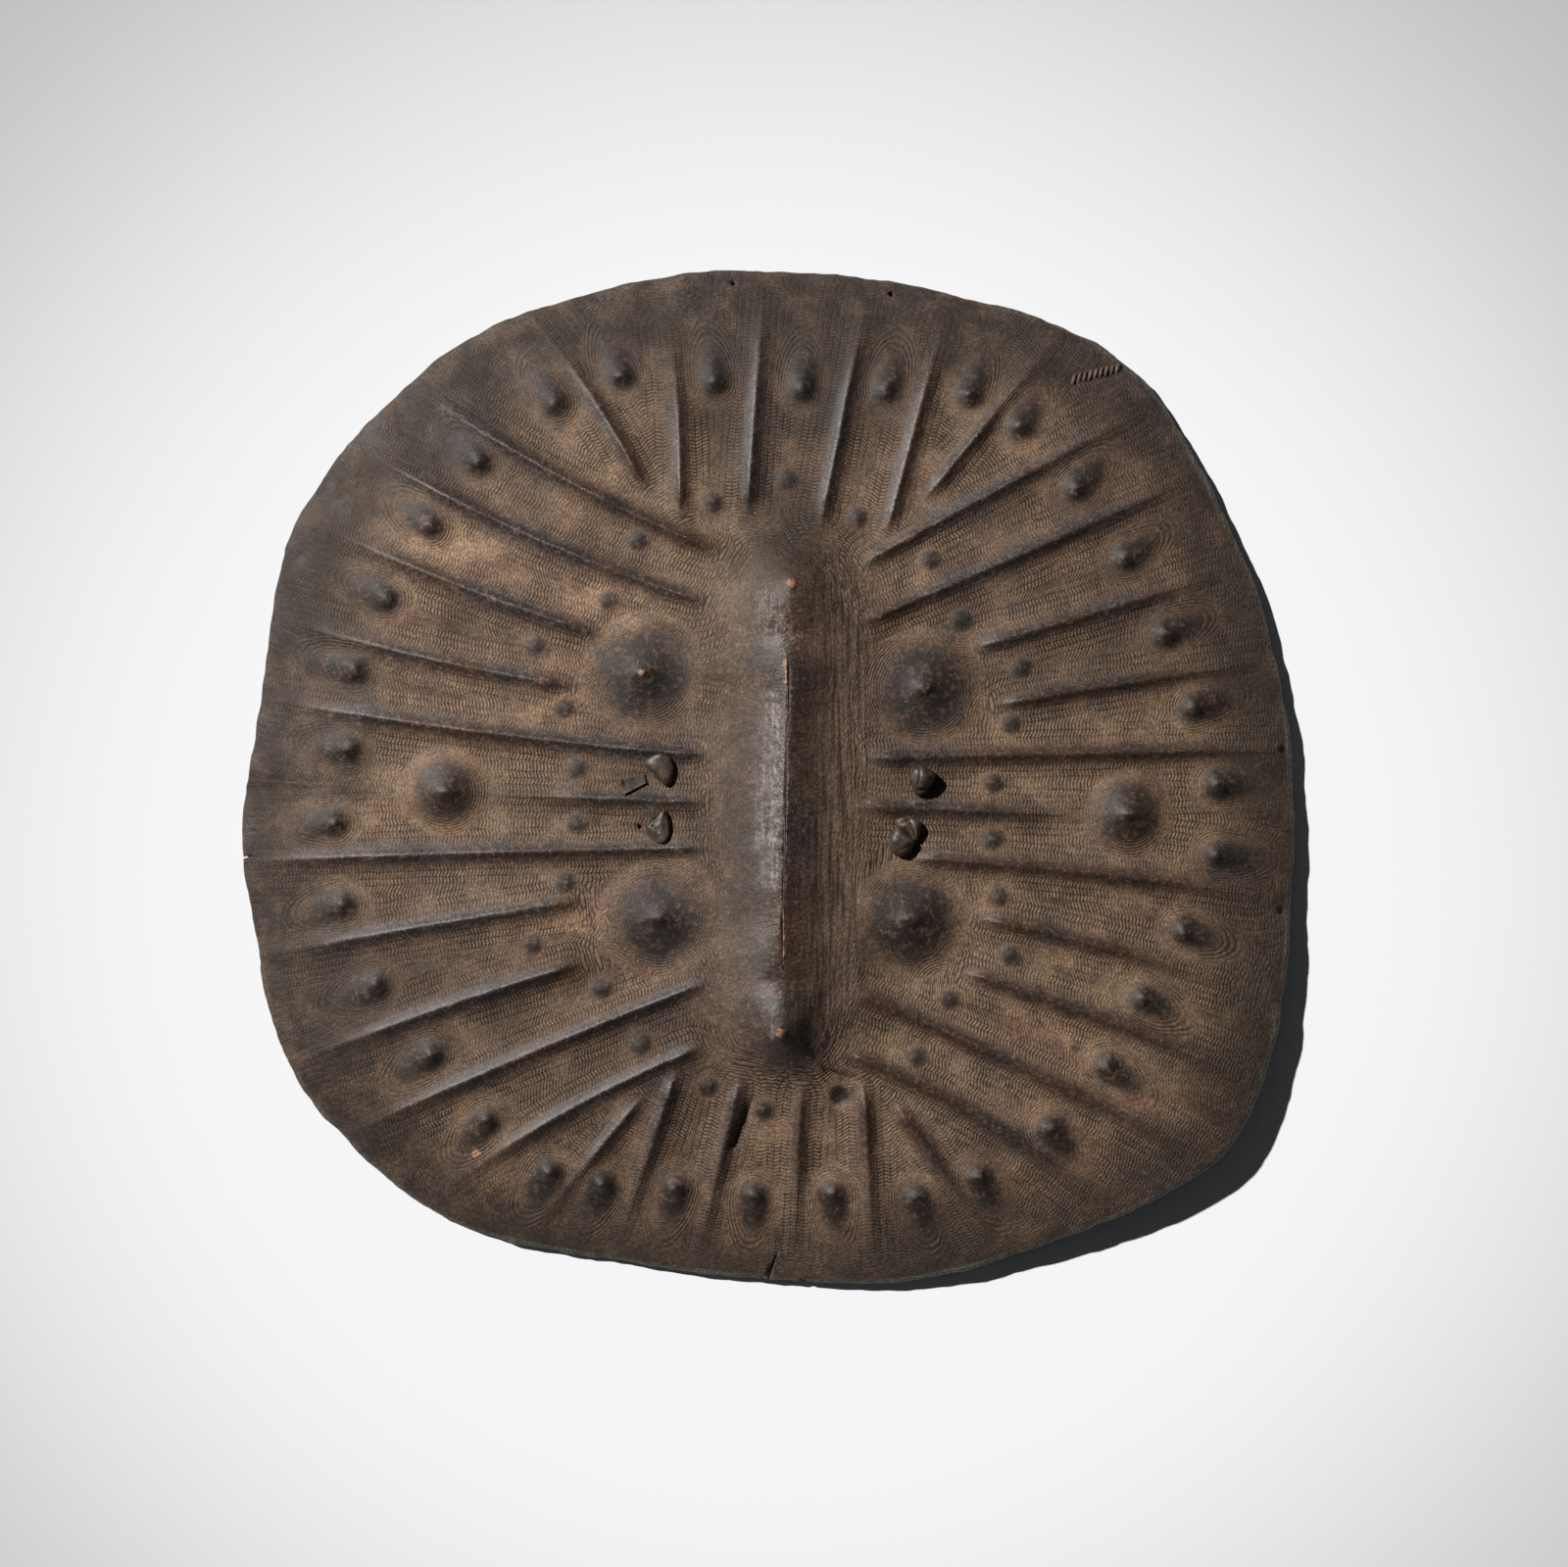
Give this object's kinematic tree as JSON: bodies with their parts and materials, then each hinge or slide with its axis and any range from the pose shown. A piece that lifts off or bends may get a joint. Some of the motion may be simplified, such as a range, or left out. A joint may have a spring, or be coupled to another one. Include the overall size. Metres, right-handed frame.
{
  "type": "hide shield",
  "caption": "Domed, rounded-square hide shield with a keeled central mound, pointed bosses and radiating ridges, lying face up; two rolled hide grips cross its hollow back.",
  "frame": {"origin": "centre of the outline, on the ground that the rim rests on", "axes": "+Z out of the face, away from the hand; +Y towards the top end of the central keel; +X to the right of the face as seen"},
  "size_m": [0.6232, 0.5998, 0.0752],
  "materials": {
    "hide": "thick dry hide, brown panels, ridges and bosses rubbed dark and glossy",
    "grip_hide": "rolled hide, dark and polished by the hand",
    "thong": "dry rawhide thong"
  },
  "bodies": {
    "root": {"shield_hide": "hide", "upper_grip": "grip_hide", "lower_grip": "grip_hide", "repair_stitching": "thong"}
  },
  "joints": []
}
